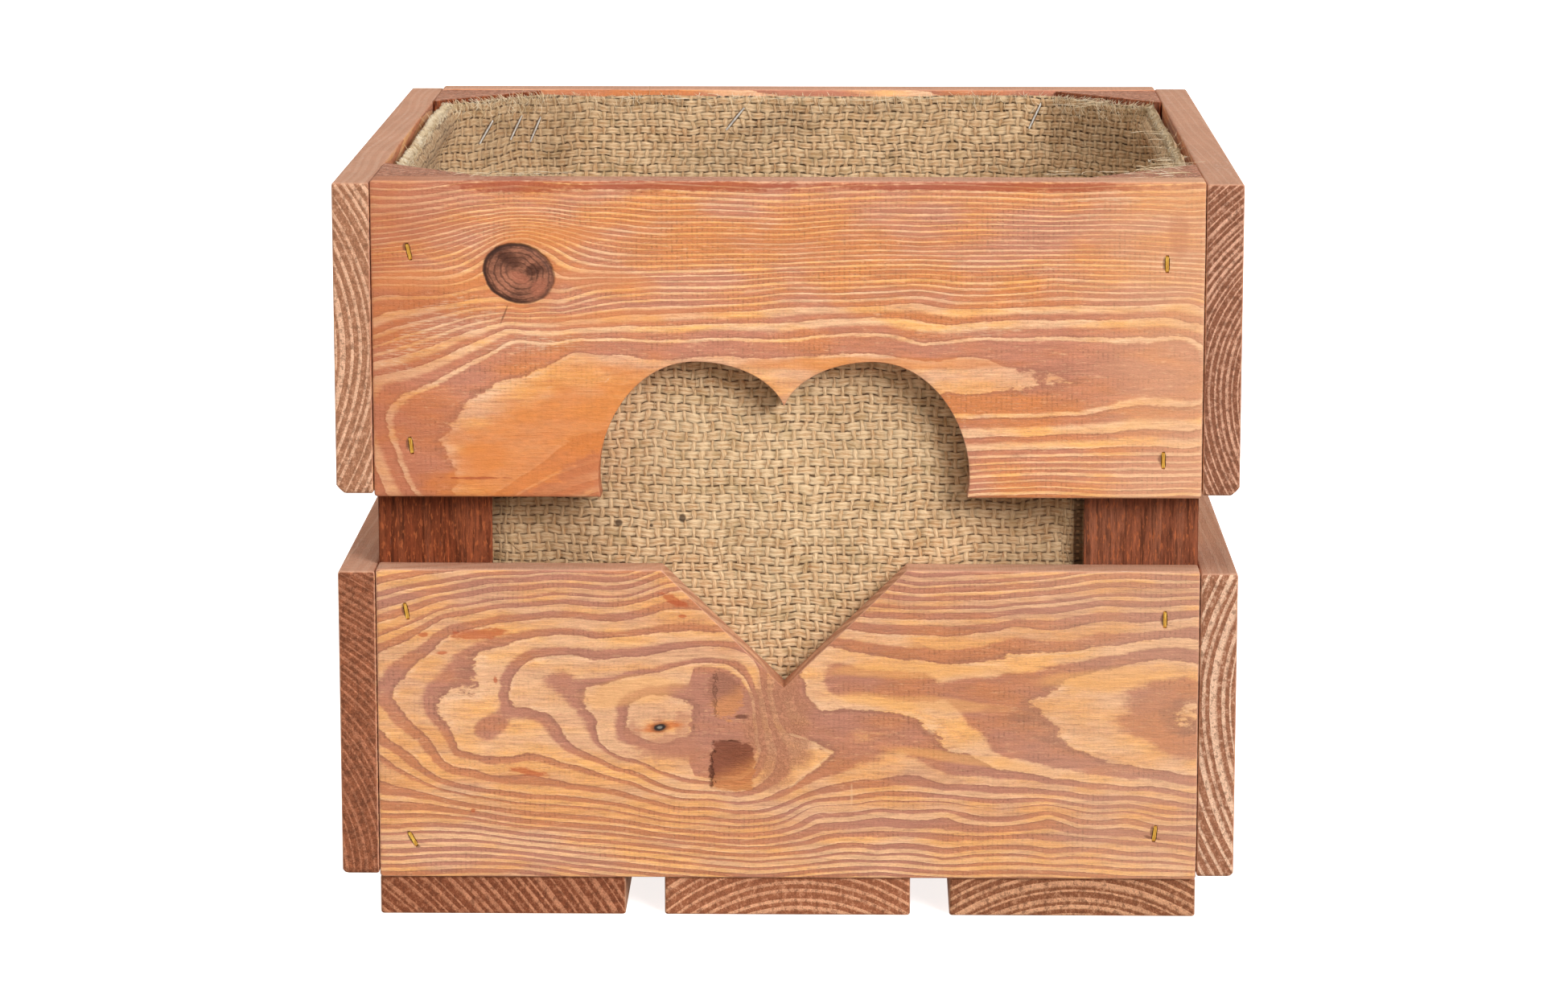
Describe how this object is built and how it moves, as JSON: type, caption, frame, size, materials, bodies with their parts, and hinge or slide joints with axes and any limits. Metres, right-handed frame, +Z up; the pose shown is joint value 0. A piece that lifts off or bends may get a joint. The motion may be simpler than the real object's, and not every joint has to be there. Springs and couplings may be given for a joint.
{
  "type": "storage crate",
  "caption": "Square two-tier board crate on corner posts and floor slats, with a heart sawn through its front boards and a jute lining.",
  "frame": {"origin": "on the ground, under the middle of the crate", "axes": "+Z up; the front with the heart faces -Y; +X is to the right as the front is looked at"},
  "size_m": [0.3406, 0.34, 0.2833],
  "materials": {
    "stained_pine": "orange-brown stain, satin",
    "side_pine": "orange-brown stain, satin",
    "dark_post": "dark red-brown stain",
    "slat_pine": "stained, sawn end grain",
    "jute": "coarse plain weave, hairy",
    "brass_wire": "lacquered wire",
    "steel_wire": "galvanised wire"
  },
  "bodies": {
    "root": {"upper_front_board": "stained_pine", "upper_back_board": "stained_pine", "upper_left_board": "side_pine", "upper_right_board": "side_pine", "lower_front_board": "stained_pine", "lower_back_board": "stained_pine", "lower_left_board": "side_pine", "lower_right_board": "side_pine", "front_left_post": "dark_post", "front_right_post": "dark_post", "back_left_post": "dark_post", "back_right_post": "dark_post", "floor_slat_1": "slat_pine", "floor_slat_2": "slat_pine", "floor_slat_3": "slat_pine", "jute_lining": "jute", "upper_front_left_top_staple": "brass_wire", "upper_front_left_bottom_staple": "brass_wire", "upper_front_right_top_staple": "brass_wire", "upper_front_right_bottom_staple": "brass_wire", "upper_right_left_top_staple": "brass_wire", "upper_right_left_bottom_staple": "brass_wire", "upper_right_right_top_staple": "brass_wire", "upper_right_right_bottom_staple": "brass_wire", "upper_back_left_top_staple": "brass_wire", "upper_back_left_bottom_staple": "brass_wire", "upper_back_right_top_staple": "brass_wire", "upper_back_right_bottom_staple": "brass_wire", "upper_left_left_top_staple": "brass_wire", "upper_left_left_bottom_staple": "brass_wire", "upper_left_right_top_staple": "brass_wire", "upper_left_right_bottom_staple": "brass_wire", "lower_front_left_top_staple": "brass_wire", "lower_front_left_bottom_staple": "brass_wire", "lower_front_right_top_staple": "brass_wire", "lower_front_right_bottom_staple": "brass_wire", "lower_right_left_top_staple": "brass_wire", "lower_right_left_bottom_staple": "brass_wire", "lower_right_right_top_staple": "brass_wire", "lower_right_right_bottom_staple": "brass_wire", "lower_back_left_top_staple": "brass_wire", "lower_back_left_bottom_staple": "brass_wire", "lower_back_right_top_staple": "brass_wire", "lower_back_right_bottom_staple": "brass_wire", "lower_left_left_top_staple": "brass_wire", "lower_left_left_bottom_staple": "brass_wire", "lower_left_right_top_staple": "brass_wire", "lower_left_right_bottom_staple": "brass_wire", "floor_slat_1_front_staple": "brass_wire", "floor_slat_1_back_staple": "brass_wire", "floor_slat_2_front_staple": "brass_wire", "floor_slat_2_back_staple": "brass_wire", "floor_slat_3_front_staple": "brass_wire", "floor_slat_3_back_staple": "brass_wire", "lining_staple_1": "steel_wire", "lining_staple_2": "steel_wire", "lining_staple_3": "steel_wire", "lining_staple_4": "steel_wire", "lining_staple_5": "steel_wire"}
  },
  "joints": []
}
